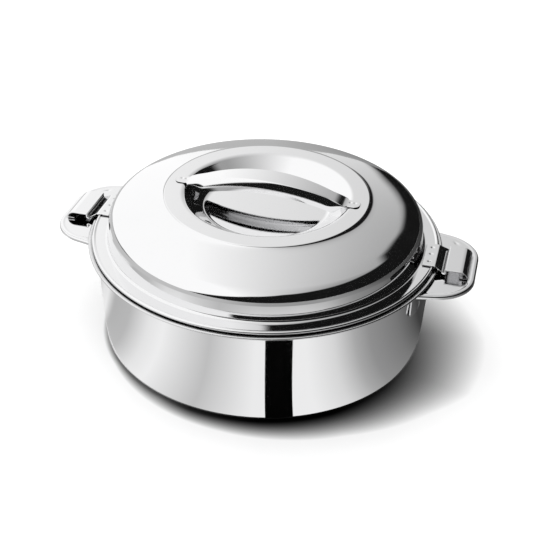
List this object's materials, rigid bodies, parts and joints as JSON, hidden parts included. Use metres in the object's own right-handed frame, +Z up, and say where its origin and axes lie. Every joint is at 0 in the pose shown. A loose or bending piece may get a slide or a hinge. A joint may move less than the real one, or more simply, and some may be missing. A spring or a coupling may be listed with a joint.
{
  "type": "insulated chapati casserole",
  "caption": "Round double-walled steel casserole with a lift-off insulated lid, an arched lid handle, rolled lid lugs and flat body handles.",
  "frame": {"origin": "centre of the base, on the surface that it stands on", "axes": "+Z up, the body handles and the lid handle lie along X"},
  "size_m": [0.276, 0.2302, 0.1125],
  "materials": {
    "polished_steel": "mirror polished stainless steel",
    "satin_steel": "satin stainless steel",
    "foam": "rigid polyurethane foam",
    "plug_plastic": "moulded plastic"
  },
  "bodies": {
    "casserole_body": {"outer_shell": "polished_steel", "inner_bowl": "satin_steel", "body_insulation": "foam", "base_foam_plug": "plug_plastic", "body_handle_left": "polished_steel", "body_handle_right": "polished_steel"},
    "lid": {"lid_outer_cover": "polished_steel", "lid_inner_cover": "satin_steel", "lid_insulation": "foam", "lid_handle": "polished_steel", "lid_lug_left": "polished_steel", "lid_lug_right": "polished_steel"}
  },
  "joints": [
    {"name": "lid_lift", "type": "slide", "parent": "casserole_body", "child": "lid", "axis": [0, 0, 1], "range_m": [0, 0.08]}
  ]
}
